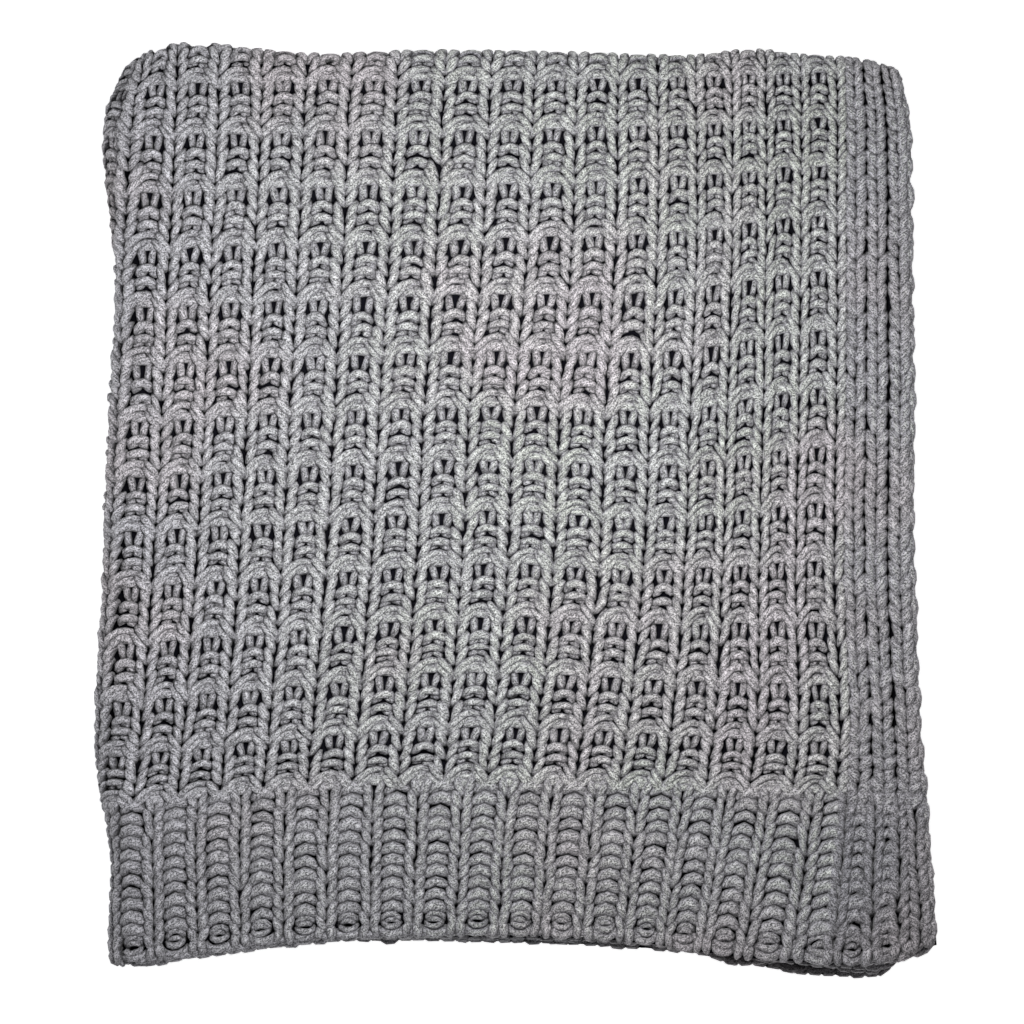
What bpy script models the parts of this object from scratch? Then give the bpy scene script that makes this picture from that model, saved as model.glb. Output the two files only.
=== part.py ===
"""Knit throw blanket, folded in half twice and laid down: one knitted piece, one solid.

The cloth is a waffle knit with a ribbed band along both ends and a plain knit
border up both sides. The length is folded in half first, so both ribbed ends
lie at the bottom and the first fold is the top edge. The width is folded in
half next, so the second fold is the left edge and the plain borders lie at
the right. Metres, +Z up, origin under the middle of the footprint.

Knit coordinates: k counts the raised ridges across (ridge 0 at the left fold,
ridge 17 is the border's first column, 19 is the border's edge) and i counts
the rows of pockets down the top layer (row 1 under the top fold, row 13 over
the ribbed band, 17 is the hem).
"""

import math

import bmesh
import bpy
import numpy as np

# Layers of the fold
LAYER = 0.012          # thickness of one layer without its ridges
GAP = 0.003            # air between two layers
RIDGE = 0.003          # a ridge stands this much above the bars
POCKET = 0.005         # a pocket's floor lies this much under the bars
BORDER_RIB = 0.002     # a border column stands this much above the bars
GROOVE = 0.0015        # the grooves beside border columns and between ribs
R1 = (LAYER + GAP) / 2.0           # first fold, radius of the layer's middle
PACKET = R1 + LAYER / 2.0          # half the thickness of the twofold packet
R2 = PACKET + GAP / 2.0            # second fold, radius of the packet's middle
OUT1 = PACKET + RIDGE              # first fold's outer radius
OUT2 = R2 + PACKET + RIDGE         # second fold's outer radius
ARC1 = 0.0105          # radius on which the first fold's length is counted
ARC2 = 0.0240          # radius on which the second fold's length is counted
MID_Z = R2 + PACKET    # height of the packet's fold centre above the surface

# Knit pitches past the tables below
COLUMN = 0.0360        # between two ridges
WAFFLE = 0.0432        # between two rows of pockets
K_EDGE = 19.0
I_BAND = 14.0
I_HEM = 17.0

# Where the knit lies on the top layer, in millimetres from the middle.
# One row for each knit row i, one column for each knit column k.
K_STATIONS = (0.5, 4.5, 8.5, 12.5, 16.5, 19.0)
I_STATIONS = (0.0, 1.0, 4.0, 7.0, 10.0, 13.0, 14.0, 17.0)
X_KNIT = (
    (-294, -147, 2, 130, 241, 315),
    (-293, -149, 0, 130, 242, 315),
    (-302, -158, -9, 128, 242, 316),
    (-308, -164, -20, 121, 240, 319),
    (-317, -172, -27, 116, 238, 319),
    (-324, -182, -39, 102, 242, 329),
    (-326, -185, -43, 98, 238, 330),
    (-322, -187, -50, 85, 219, 337),
)
Y_KNIT = (
    (373, 374, 373, 375, 380, 382),
    (335, 337, 336, 340, 344, 346),
    (199, 206, 208, 214, 227, 230),
    (62, 73, 76, 73, 89, 91),
    (-70, -59, -52, -57, -48, -48),
    (-204, -192, -183, -188, -192, -194),
    (-243, -230, -225, -228, -230, -232),
    (-362, -350, -344, -346, -362, -348),
)

# The folded outline: left fold by height, top fold by width (millimetres)
LEFT_Y = (-370, -280, -240, -200, -150, -70, 10, 90, 180, 250, 370)
LEFT_X = (-327, -325, -327, -336, -338, -334, -330, -328, -323, -326, -328)
TOP_X = (-330, -265, -220, -170, -94, -14, 66, 146, 186, 242, 276, 320)
TOP_Y = (369, 372, 368, 366, 367, 366, 364, 365, 367, 363, 361, 358)

# Lower layers: how far each hem shows below the top one, by width
PEEP_X = (-330, -120, 82, 130, 165, 230, 285, 310)
PEEP_Y = (0, 0, 3, 6, 4, 9, 11, 3)
HEM_SHARE = {"back": 0.35, "inner": 0.7, "under": 1.0}
# The top layer's side edge by height
SIDE_Y = (-348, -232, -192, -48, 89, 230, 346)
SIDE_X = (337, 330, 329, 319, 319, 316, 315)
# Lower layers: how far each side edge lies inside the top one, by height
INSET_Y = (-375, -340, -280, -200, 0, 370)
INSET_X = (30, 26, 10, 5, 4, 3)

# Fold corners are drawn in: corner x, y, direction x, y, pull, reach (mm)
CORNERS = (
    (-330, 372, 0.80, -0.60, 22, 46),
    (322, 362, -0.70, -0.70, 17, 38),
)

# Puts the origin under the middle of the footprint
CENTRE_X = 0.0005

# Height of the pile: edges are pressed lower, the middle swells
EDGE_DROP = 0.07
EDGE_REACH = 0.10
SWELL = (
    (0.030, 7.1, 2.3, 0.4),
    (0.020, -4.9, 9.7, 1.9),
)

# Knit lines the grid follows
RIDGE_HALF = 0.17      # of a column pitch
POCKET_HALF = 0.20     # of a waffle pitch
BORDER_LINES = (18.75, 18.5, 18.25, 18.0, 17.75, 17.5, 17.25, 17.0)
BORDER_WAFFLE = (0.0, 1.0, -1.0, 1.0, -1.0, 1.0, -1.0, 1.0)
BORDER_BAND = (0.6, 1.0, -1.0, 0.6, 0.6, -1.0, 1.0, -1.0)
BAND_LINES = (16.8, 16.2, 15.4, 14.6, 14.1)
LAST_K = -1.0 + RIDGE_HALF
FOLD_ROW = 0.6         # the knit row on the top fold
SIDE_REACH_K = 14.0    # from here on the layer behind follows its side edge
UNDER_PARTS = 7
BACK_PARTS = 6
WRAP1_STEPS = 6
INNER_COLUMNS = (K_EDGE, 17.0, 14.0, 11.0, 8.0, 5.0, 2.5)
INNER_ROWS = (I_HEM, 15.2, 13.0, 10.0, 7.0, 4.0, 1.5)
INNER_PARTS = 6
RIM = 0.0035           # rounding of the hems and side edges

YARN_GREY = (0.262, 0.258, 0.266, 1.0)


def clear_scene():
    """Remove every object of the start file."""
    for obj in list(bpy.data.objects):
        bpy.data.objects.remove(obj, do_unlink=True)


def blend(stations, values, at):
    """Smooth curve through values at the stations, straight past both ends.

    values has one entry for each station; an entry may be an array that
    goes with the array of places.
    """
    st = np.asarray(stations, float)
    at = np.asarray(at, float)
    val = np.asarray(values, float)
    val = val.reshape(val.shape + (1,) * (at.ndim + 1 - val.ndim))
    val = np.broadcast_to(val, (len(st),) + at.shape)
    tail = (1,) * at.ndim
    step = np.diff(st).reshape((-1,) + tail)
    slope = np.diff(val, axis=0) / step
    inner = (slope[:-1] * step[1:] + slope[1:] * step[:-1]) / (step[1:] + step[:-1])
    tangent = np.concatenate([slope[:1], inner, slope[-1:]])
    j = np.clip(np.searchsorted(st, at) - 1, 0, len(st) - 2)
    a, b = st[j], st[j + 1]
    t = np.clip((at - a) / (b - a), 0.0, 1.0)

    def pick(rows, index):
        return np.take_along_axis(rows, index[None], 0)[0]

    va, vb = pick(val, j), pick(val, j + 1)
    ta, tb = pick(tangent, j) * (b - a), pick(tangent, j + 1) * (b - a)
    t2, t3 = t * t, t * t * t
    out = va * (2 * t3 - 3 * t2 + 1) + ta * (t3 - 2 * t2 + t)
    out = out + vb * (3 * t2 - 2 * t3) + tb * (t3 - t2)
    out = out + np.minimum(at - st[0], 0.0) * tangent[0]
    return out + np.maximum(at - st[-1], 0.0) * tangent[-1]


def ease(t):
    """Smooth step from 0 to 1."""
    t = np.clip(t, 0.0, 1.0)
    return t * t * (3.0 - 2.0 * t)


def knit_table(table, k, i):
    """Value of a knit table at knit column k and row i, in metres."""
    columns = [blend(I_STATIONS, [row[c] for row in table], i)
               for c in range(len(K_STATIONS))]
    return blend(K_STATIONS, np.array(columns), k) / 1000.0


def top_line(x):
    """Height on the plan of the top fold's edge at x."""
    return blend(TOP_X, TOP_Y, np.clip(x * 1000.0, TOP_X[0], TOP_X[-1])) / 1000.0


def left_line(y):
    """Place on the plan of the left fold's edge at y."""
    return blend(LEFT_Y, LEFT_X, np.clip(y * 1000.0, LEFT_Y[0], LEFT_Y[-1])) / 1000.0


def developed(k, i):
    """Flat position of knit column k and row i, as if both folds lay open."""
    k, i = np.broadcast_arrays(np.asarray(k, float), np.asarray(i, float))
    kk = np.clip(k, 0.5, K_EDGE)
    ii = np.clip(i, 0.0, I_HEM)
    x = knit_table(X_KNIT, kk, ii) + (k - kk) * COLUMN
    y = knit_table(Y_KNIT, kk, ii) - (i - ii) * WAFFLE
    return x, y


def fold_one(yd, w, top):
    """First fold: plan y and height above the packet's middle."""
    start = top - OUT1
    over = yd - start
    turn = np.clip(over / ARC1, 0.0, math.pi)
    past = np.maximum(over - math.pi * ARC1, 0.0)
    y = start + np.minimum(over, 0.0) + (R1 + w) * np.sin(turn) - past
    return y, (R1 + w) * np.cos(turn)


def fold_two(xd, d, left):
    """Second fold: plan x and height above the surface."""
    start = left + OUT2
    over = start - xd
    turn = np.clip(over / ARC2, 0.0, math.pi)
    past = np.maximum(over - math.pi * ARC2, 0.0)
    x = start + np.maximum(-over, 0.0) - (R2 + d) * np.sin(turn) + past
    return x, MID_Z + (R2 + d) * np.cos(turn)


def place(xd, yd, w):
    """Point of the folded cloth for a developed position and a height w
    off the middle of the layer."""
    near = fold_two(xd, 0.0, np.full(np.shape(xd), LEFT_X[5] / 1000.0))[0]
    y, d = fold_one(yd, w, top_line(near))
    x, z = fold_two(xd, d, left_line(y))
    for cx, cy, dx, dy, pull, reach in CORNERS:
        far = ((x * 1000.0 - cx) ** 2 + (y * 1000.0 - cy) ** 2) / reach ** 2
        draw = pull / 1000.0 * np.exp(-far)
        x, y = x + dx * draw, y + dy * draw
    side = np.minimum(x + 0.335, 0.335 - x)
    side = np.minimum(side, np.minimum(y + 0.36, 0.37 - y))
    level = 1.0 - EDGE_DROP * (1.0 - ease(side / EDGE_REACH))
    for size, fx, fy, shift in SWELL:
        level = level + size * np.sin(fx * x + fy * y + shift)
    return x + CENTRE_X, y, z * level


def side_line(y):
    """Place on the plan of the lower layers' side edges at y."""
    mm = np.clip(y * 1000.0, SIDE_Y[0], SIDE_Y[-1])
    inside = np.interp(y * 1000.0, INSET_Y, INSET_X)
    return (blend(SIDE_Y, SIDE_X, mm) - inside) / 1000.0


def under_x(x, y):
    """Developed x of a point of the lower half that lies at x on the plan."""
    start = left_line(y) + OUT2
    return start - math.pi * ARC2 - (x - start)


def back_y(y, x):
    """Developed y of a point behind the first fold that lies at y on the plan."""
    start = top_line(x) - OUT1
    return start + math.pi * ARC1 + (start - y)


def peep(x, layer):
    """How far a lower layer's hem shows below the top layer's at x."""
    mm = np.clip(x * 1000.0, PEEP_X[0], PEEP_X[-1])
    return HEM_SHARE[layer] * np.interp(mm, PEEP_X, PEEP_Y) / 1000.0


def top_k(x, i):
    """Knit column whose row i passes over x, for the lower layers' rows."""
    start = left_line(knit_table(Y_KNIT, np.full(np.shape(i), 0.5), i)) + OUT2
    end = knit_table(X_KNIT, np.full(np.shape(i), K_EDGE), i)
    return 0.5 + (K_EDGE - 0.5) * np.clip((x - start) / (end - start), 0.0, 1.0)


def relief(k, i):
    """Height of the knit's own relief above the bars at a grid line crossing."""
    if k >= 17.0:
        lines = BORDER_BAND if i > I_BAND else BORDER_WAFFLE
        sign = lines[BORDER_LINES.index(k)] if k in BORDER_LINES else 0.0
        return sign * (BORDER_RIB if sign > 0.0 else GROOVE)
    between = abs(k - round(k)) > 0.3
    if i > I_BAND:
        return RIDGE * 0.8 if between else -GROOVE
    if not between:
        return RIDGE
    return -POCKET if i == round(i) and i >= 1.0 else 0.0


def outer_lines():
    """Grid lines of the outer face, across and down the opened cloth."""
    across = [("column", K_EDGE)]
    across += [("column", k) for k in BORDER_LINES]
    across.append(("column", 17.0 - RIDGE_HALF))
    for ridge in range(16, -1, -1):
        across.append(("column", ridge + 0.5))
        across.append(("column", ridge + RIDGE_HALF))
        across.append(("column", ridge - RIDGE_HALF))
    across += [("column", -0.5), ("column", LAST_K)]
    across += [("rest", 0.5), ("turn", math.pi)]
    across += [("under", part / UNDER_PARTS) for part in range(1, UNDER_PARTS + 1)]
    down = [("row", I_HEM)] + [("row", i) for i in BAND_LINES]
    for row in range(13, 1, -1):
        down.append(("row", row + POCKET_HALF))
        down.append(("row", float(row)))
        down.append(("row", row - POCKET_HALF))
    down += [("row", 1.0 + POCKET_HALF), ("row", 1.0)]
    down += [("turn", math.pi * part / WRAP1_STEPS) for part in range(WRAP1_STEPS + 1)]
    down += [("back", part / BACK_PARTS) for part in range(1, BACK_PARTS + 1)]
    return across, down


def inner_lines():
    """Grid lines of the inner face, which only shows at the hems and sides."""
    across = [("column", k) for k in INNER_COLUMNS]
    across += [("turn", math.pi * part / 4.0) for part in range(5)]
    across += [("under", part / INNER_PARTS) for part in range(1, INNER_PARTS + 1)]
    down = [("row", i) for i in INNER_ROWS]
    down += [("turn", math.pi * part / 2.0) for part in range(3)]
    down += [("back", part / INNER_PARTS) for part in range(1, INNER_PARTS + 1)]
    return across, down


def sheet_point(across, down, shift):
    """Developed x and y where two grid lines cross.

    shift draws the side edges and hems in, to make room for the rims.
    """
    kind, value = across
    i = down[1] if down[0] == "row" else FOLD_ROW
    at_side = across in (("column", K_EDGE), ("under", 1.0))
    at_hem = down in (("row", I_HEM), ("back", 1.0))
    lower = kind == "under"
    if kind == "column":
        x, y = developed(value, i)
        plan = max(x, left_line(y) + OUT2)
    else:
        y = developed(0.5, i)[1]
        plan = left_line(y) + OUT2
        end = plan - math.pi * ARC2
        last = developed(LAST_K, i)[0]
        x = last + (end - last) * value if kind == "rest" else plan - ARC2 * value
        if lower:
            edge = side_line(y) - shift * at_side
            plan = plan + (edge - plan) * value
            y = knit_table(Y_KNIT, top_k(plan, i), i)
            y = y - peep(plan, "under") * ease((i - I_BAND) / (I_HEM - I_BAND))
            x = under_x(plan, y)
    if down[0] == "row":
        y = y + shift * at_hem
        if at_side and not lower:
            x = x - shift
        return x, y
    start = top_line(plan) - OUT1
    if down[0] == "turn":
        y = start + ARC1 * down[1]
        if at_side and not lower:
            x = x - shift
        return x, y
    layer = "inner" if lower else "back"
    hem = knit_table(Y_KNIT, top_k(plan, I_HEM), I_HEM)
    hem = hem - peep(plan, layer) + shift * at_hem
    y_plan = start + (hem - start) * down[1]
    if lower:
        left = left_line(y_plan) + OUT2
        edge = side_line(y_plan) - shift * at_side
        x = under_x(left + (edge - left) * value, y_plan)
    elif kind == "column":
        edge = developed(K_EDGE, FOLD_ROW)[0]
        reach = ease((value - SIDE_REACH_K) / (K_EDGE - SIDE_REACH_K))
        near = ease(down[1] * 4.0)
        x = x + (side_line(y_plan) - edge) * reach * near - shift * at_side
    return x, back_y(y_plan, plan)


def outer_height(across, down):
    """Height of the outer face off the layer's middle at a crossing."""
    if across[0] != "column" or down[0] == "back":
        return LAYER / 2.0
    k = across[1]
    if down[0] == "row":
        rise = relief(k, down[1])
        i = down[1]
    else:
        rise = max(relief(k, FOLD_ROW), 0.0)
        rise *= 1.0 - float(ease((down[1] - 1.7) / 0.8))
        i = FOLD_ROW
    x, y = developed(k, i)
    turn = float((left_line(y) + OUT2 - x) / ARC2)
    return LAYER / 2.0 + rise * (1.0 - float(ease((turn - 1.7) / 0.8)))


def lattice(across, down, shift, height):
    """Placed points of a face as an array over its lines across and down."""
    out = np.zeros((len(across), len(down), 3))
    for c, a in enumerate(across):
        for r, b in enumerate(down):
            x, y = sheet_point(a, b, shift)
            px, py, pz = place(np.array([float(x)]), np.array([float(y)]),
                               height(a, b))
            out[c, r] = (px[0], py[0], pz[0])
    return out


def border_loop(count_u, count_v):
    """Grid indices round the edge of a face, as four sides."""
    sides = [[(c, 0) for c in range(count_u - 1)]]
    sides.append([(count_u - 1, r) for r in range(count_v - 1)])
    sides.append([(c, count_v - 1) for c in range(count_u - 1, 0, -1)])
    sides.append([(0, r) for r in range(count_v - 1, 0, -1)])
    return sides


def bridge(bm, fine, coarse):
    """Triangles between two open chains of vertices that run side by side."""
    def lengths(chain):
        total = [0.0]
        for a, b in zip(chain, chain[1:]):
            total.append(total[-1] + (a.co - b.co).length)
        return [t / total[-1] for t in total]

    at_f, at_c = lengths(fine), lengths(coarse)
    f = c = 0
    while f < len(fine) - 1 or c < len(coarse) - 1:
        step_f = at_f[f + 1] if f < len(fine) - 1 else 9.0
        step_c = at_c[c + 1] if c < len(coarse) - 1 else 9.0
        if step_f <= step_c:
            bm.faces.new((fine[f], coarse[c], fine[f + 1]))
            f += 1
        else:
            bm.faces.new((fine[f], coarse[c], coarse[c + 1]))
            c += 1


def add_face(bm, points, flip):
    """Grid of quads from an array of points; gives back its vertices."""
    nu, nv = points.shape[:2]
    verts = [[bm.verts.new(points[c, r]) for r in range(nv)] for c in range(nu)]
    for c in range(nu - 1):
        for r in range(nv - 1):
            quad = (verts[c][r], verts[c + 1][r], verts[c + 1][r + 1], verts[c][r + 1])
            bm.faces.new(quad[::-1] if flip else quad)
    return verts


def build_throw():
    """The whole cloth as one closed solid."""
    across, down = outer_lines()
    outer = lattice(across, down, RIM, outer_height)
    middle = lattice(across, down, 0.0, lambda a, b: 0.0)
    in_across, in_down = inner_lines()
    inner = lattice(in_across, in_down, RIM, lambda a, b: -LAYER / 2.0)
    bm = bmesh.new()
    out_v = add_face(bm, outer, True)
    in_v = add_face(bm, inner, False)
    out_loop = border_loop(*outer.shape[:2])
    in_loop = border_loop(*inner.shape[:2])
    mid_v = {}
    for side in out_loop:
        for c, r in side:
            mid_v[(c, r)] = bm.verts.new(middle[c, r])
    for n in range(4):
        following = (n + 1) % 4
        fine = out_loop[n] + out_loop[following][:1]
        coarse = in_loop[n] + in_loop[following][:1]
        for (c, r), (c2, r2) in zip(fine, fine[1:]):
            bm.faces.new((out_v[c][r], mid_v[(c, r)], mid_v[(c2, r2)], out_v[c2][r2]))
        bridge(bm, [mid_v[cr] for cr in fine], [in_v[c][r] for c, r in coarse])
    bmesh.ops.triangulate(bm, faces=bm.faces[:], quad_method="SHORT_EDGE")
    bmesh.ops.recalc_face_normals(bm, faces=bm.faces[:])
    mesh = bpy.data.meshes.new("knit_throw")
    bm.to_mesh(mesh)
    bm.free()
    return mesh


def yarn_material():
    """Matt grey yarn."""
    mat = bpy.data.materials.new("grey_yarn")
    mat.use_nodes = True
    shader = mat.node_tree.nodes["Principled BSDF"]
    shader.inputs["Base Color"].default_value = YARN_GREY
    shader.inputs["Roughness"].default_value = 0.95
    return mat


def main():
    clear_scene()
    mesh = build_throw()
    mesh.materials.append(yarn_material())
    obj = bpy.data.objects.new("knit_throw", mesh)
    bpy.context.scene.collection.objects.link(obj)


main()
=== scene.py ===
"""Looks of the knit throw blanket: its yarn, stitch by stitch, on the folded cloth.

Every strand of yarn is modelled once, flat, as a strip that is rolled up along
a smooth line, and is then copied over the knit and folded with the cloth.
Metres, +Z up, origin under the middle of the folded throw.

Knit coordinates: k counts the raised ridges across (ridge 0 at the left fold,
17 is the side border's first column, 19 its edge) and i counts the rows of
pockets down the top layer (row 1 under the top fold, 17 is the hem).
"""

import json
import math

import bpy
import numpy as np
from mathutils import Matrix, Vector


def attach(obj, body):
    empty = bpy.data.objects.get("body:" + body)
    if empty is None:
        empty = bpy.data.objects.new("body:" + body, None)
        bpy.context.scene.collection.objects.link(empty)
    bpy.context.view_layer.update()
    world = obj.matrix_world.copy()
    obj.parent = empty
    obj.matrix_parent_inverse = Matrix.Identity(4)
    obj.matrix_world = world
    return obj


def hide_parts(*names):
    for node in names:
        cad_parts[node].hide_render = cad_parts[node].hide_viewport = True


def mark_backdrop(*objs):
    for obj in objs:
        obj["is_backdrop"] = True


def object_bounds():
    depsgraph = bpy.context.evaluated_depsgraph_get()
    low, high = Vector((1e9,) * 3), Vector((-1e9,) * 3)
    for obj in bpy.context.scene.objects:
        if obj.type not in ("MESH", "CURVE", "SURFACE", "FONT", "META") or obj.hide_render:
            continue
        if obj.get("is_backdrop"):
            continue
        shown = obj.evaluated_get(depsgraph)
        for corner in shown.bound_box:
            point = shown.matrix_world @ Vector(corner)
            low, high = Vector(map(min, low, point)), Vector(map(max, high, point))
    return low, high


bl_info = {
    "name": "Knit throw blanket",
    "version": (1, 0, 0),
    "blender": (4, 5, 0),
    "location": "3D View > Sidebar > Throw",
    "description": "Builds the yarn, cloth and studio of a folded knit throw",
    "category": "Object",
}

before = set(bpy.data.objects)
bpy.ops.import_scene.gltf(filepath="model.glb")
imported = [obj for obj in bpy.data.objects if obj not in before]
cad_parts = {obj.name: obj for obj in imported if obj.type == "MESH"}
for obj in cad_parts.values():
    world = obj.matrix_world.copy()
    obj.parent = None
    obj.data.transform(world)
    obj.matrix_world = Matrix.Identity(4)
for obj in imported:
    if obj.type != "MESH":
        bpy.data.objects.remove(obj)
BOUNDS_AT_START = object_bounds()

# Studio
KEY_AT = (-0.02, 0.115, 0.82)      # the soft light, over the throw
KEY_SIZE = (0.45, 0.35)
CAMERA_AT = (-0.004, -0.002)       # straight above, a little off the middle

# Layers of the fold
LAYER = 0.012          # thickness of one layer without its ridges
GAP = 0.003            # air between two layers
RIDGE = 0.003          # a ridge stands this much above the bars
R1 = (LAYER + GAP) / 2.0           # first fold, radius of the layer's middle
PACKET = R1 + LAYER / 2.0          # half the thickness of the twofold packet
R2 = PACKET + GAP / 2.0            # second fold, radius of the packet's middle
OUT1 = PACKET + RIDGE              # first fold's outer radius
OUT2 = R2 + PACKET + RIDGE         # second fold's outer radius
ARC1 = 0.0105          # radius on which the first fold's length is counted
ARC2 = 0.0240          # radius on which the second fold's length is counted
MID_Z = R2 + PACKET    # height of the packet's fold centre above the surface

# Knit pitches past the tables below
COLUMN = 0.0360        # between two ridges
WAFFLE = 0.0432        # between two rows of pockets
K_EDGE = 19.0
I_BAND = 14.0
I_HEM = 17.0

# Where the knit lies on the top layer, in millimetres from the middle.
# One row for each knit row i, one column for each knit column k.
K_STATIONS = (0.5, 4.5, 8.5, 12.5, 16.5, 18.0, 19.0)
I_STATIONS = (0.0, 1.0, 4.0, 7.0, 10.0, 13.0, 14.0, 17.0)
X_KNIT = (
    (-292, -150, -1, 128, 240, 284, 313),
    (-291, -152, -4, 128, 241, 285, 314),
    (-297, -158, -10, 128, 241, 286, 315),
    (-303, -165, -21, 122, 240, 286, 317),
    (-311, -172, -27, 117, 238, 285, 317),
    (-321, -183, -38, 104, 241, 291, 324),
    (-326, -186, -43, 98, 237, 291, 327),
    (-325, -188, -50, 85, 219, 288, 336),
)
Y_KNIT = (
    (375, 376, 375, 377, 381, 382, 383),
    (336, 338, 338, 341, 345, 346, 347),
    (201, 207, 210, 216, 228, 230, 231),
    (63, 71, 76, 72, 89, 90, 91),
    (-69, -59, -50, -55, -49, -49, -49),
    (-204, -190, -180, -186, -192, -193, -194),
    (-242, -228, -223, -226, -230, -232, -233),
    (-365, -347, -341, -346, -362, -363, -349),
)

# The folded outline: left fold by height, top fold by width (millimetres)
LEFT_Y = (-370, -328, -280, -235, -200, -150, -70, 10, 90, 180, 235, 290, 370)
LEFT_X = (-331, -331, -329, -337, -341, -342, -337, -335, -332, -327, -331, -335, -334)
TOP_X = (-330, -265, -220, -170, -94, -14, 66, 146, 186, 242, 276, 320)
TOP_Y = (376, 378, 374, 369, 371, 371, 369, 368, 372, 367, 366, 364)

# Lower layers: how far each hem shows below the top one, by width
PEEP_X = (-330, -130, -100, -20, 75, 130, 165, 230, 270, 292, 308, 318)
PEEP_Y = (0, 1, 4, 8, 9, 9, 9.5, 14, 13, 12, 4, 0)
HEM_SHARE = {"back": 0.35, "inner": 0.7, "under": 1.0}
# The top layer's side edge by height
SIDE_Y = (-348, -232, -192, -48, 89, 230, 346)
SIDE_X = (336, 327, 324, 317, 317, 315, 314)
# Lower layers: how far each side edge lies inside the top one, by height
INSET_Y = (-375, -340, -280, -200, 0, 370)
INSET_X = (30, 26, 10, 5, 4, 3)

# Fold corners are drawn in: corner x, y, direction x, y, pull, reach (mm)
CORNERS = (
    (-332, 374, 0.80, -0.60, 19, 38),
    (322, 364, -0.70, -0.70, 12, 34),
)

# Puts the origin under the middle of the footprint
CENTRE_X = 0.0005

# Height of the pile: edges are pressed lower, the middle swells
PILE_SIDE = 0.335      # from the middle to either side
PILE_FRONT = 0.36      # and to the hems
PILE_BACK = 0.37       # and to the top fold
EDGE_DROP = 0.07
EDGE_REACH = 0.10
# Waves of the top: share of the height, waves across and up (radians to the
# metre) and where they start
SWELL = (
    (0.030, 7.1, 2.3, 0.4),
    (0.020, -4.9, 9.7, 1.9),
)

FOLD_ROW = 0.6         # the knit row on the top fold
SIDE_REACH_K = 14.0    # from here on the layer behind follows its side edge
UNDER_EDGE_K = -18.5   # knit column of the lower half's side edge
UNDER_PRESS = 0.66     # how flat the stitches underneath are pressed
UNDER_TURN = 1.4, 1.6  # that starts at this turn of the fold and takes this one
FOLD_PRESS = 0.6, 0.3  # how far each fold presses down the stitches' tops
PRESS_ABOVE = 0.006    # from this height off the layer's middle
CLOTH_MIDDLE = -0.003  # the cloth sheet lies this far off a layer's middle

# Yarn and stitches
PLIES = 4.0            # ridges round a strand
PLY_TURNS = 1.2        # plies that pass in a centimetre along it
STREAK = (3.2, 23.0, 6.4)   # streaks of fibre along, round and slanted
FLECK = 0.72           # how far the fibres' light and dark flecks go
LUMPY = 0.24           # how far the yarn's surface strays, in millimetres
UNEVEN = 0.07          # how much thicker or thinner a stitch is
BEND = 0.5             # how far a stitch bows, in millimetres
TURN = 0.05            # how far a stitch is turned, in radians
# Painted shade: how much light is painted on a strand from its lower side up to its top,
# which darkens its flanks
FLANK_AT = (-0.5, 0.0, 0.7, 1.0)
PAINTED_FLANK_LIGHT = (0.0, 0.05, 0.76, 1.0)
# Painted shade by height: how much light is painted on the yarn at a height above its
# layer's middle, in millimetres
HEIGHTS = (-3.0, 0.5, 4.5, 8.0)
HEIGHT_LIGHT = (0.08, 0.46, 0.88, 1.0)
TOP_LIGHT = 0.8        # painted shade on the top layer's hem and side edge
LOWER_LIGHT = 0.38     # painted shadow: the lower layers' hems lie in the top one's shadow
FRONT_LIGHT = 0.8      # painted light kept on the side with which hems and edges face outwards
LOWER_FRONT = 0.55     # of that on the lower layers
# The band's rows, a little over four to a waffle pitch
BAND_ROWS = tuple(I_BAND - 0.06 + n * 0.244 for n in range(12))
HEADS_ROW = I_BAND - 0.12   # the bars between the waffle and the band
BORDER_COLUMNS = (17.49, 18.06, 18.66)
# painted shade on the side border's stitches
BORDER_LIGHT = 0.75
# Knit and purl columns of the band's border, and their width
BAND_BORDER_KNIT = ((17.24, 0.86), (17.88, 0.86), (18.38, 0.84), (18.74, 0.86))
BAND_BORDER_PURL = ((17.56, 0.66), (18.14, 0.6))
# Painted shade on the band's stitches: how much light is painted on them, in its own ribs
# and in its border's
BAND_LIGHT = {"leg": 0.84, "foot": 0.86, "arc": 0.82, "eye": 0.87}
BAND_BORDER_LIGHT = {"leg": 0.63, "foot": 0.74, "arc": 0.68, "eye": 0.74}
BUMP_PITCH = 0.0113    # between two bumps of the cast-on edge
LOOP_PITCH = 0.0235    # between two loops of the side edge
# Rows of bumps: side of the layer, lift (mm), distance above the hem, and
# shift along it (m). The top layer's own hem stitches belong to the band.
BUMP_ROWS = ((-1, 0.6, 0.004, 0.0), (1, -2.2, 0.0056, 0.006))
LOWER_BUMP_ROWS = ((1, 0.4, 0.004, 0.0), (1, 0.2, 0.0105, 0.003), (1, 0.0, 0.016, 0.0))
# Rows of loops: the same, with the distance inside the side edge
LOOP_ROWS = ((1, 0.4, 0.0026, 0.0), (-1, 1.2, 0.0036, 0.0), (1, -1.6, 0.0036, 0.0118))

# Columns and rows that carry the waffle, from past both fold lines
FIRST_K = -2
FIRST_ROW = -1
RIDGES = range(FIRST_K, 18)
POCKETS = tuple(k + 0.5 for k in RIDGES[:-1])
ROWS = range(FIRST_ROW, 14)
SPLIT = 8              # ridges in the first of the two pieces of ridges

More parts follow.
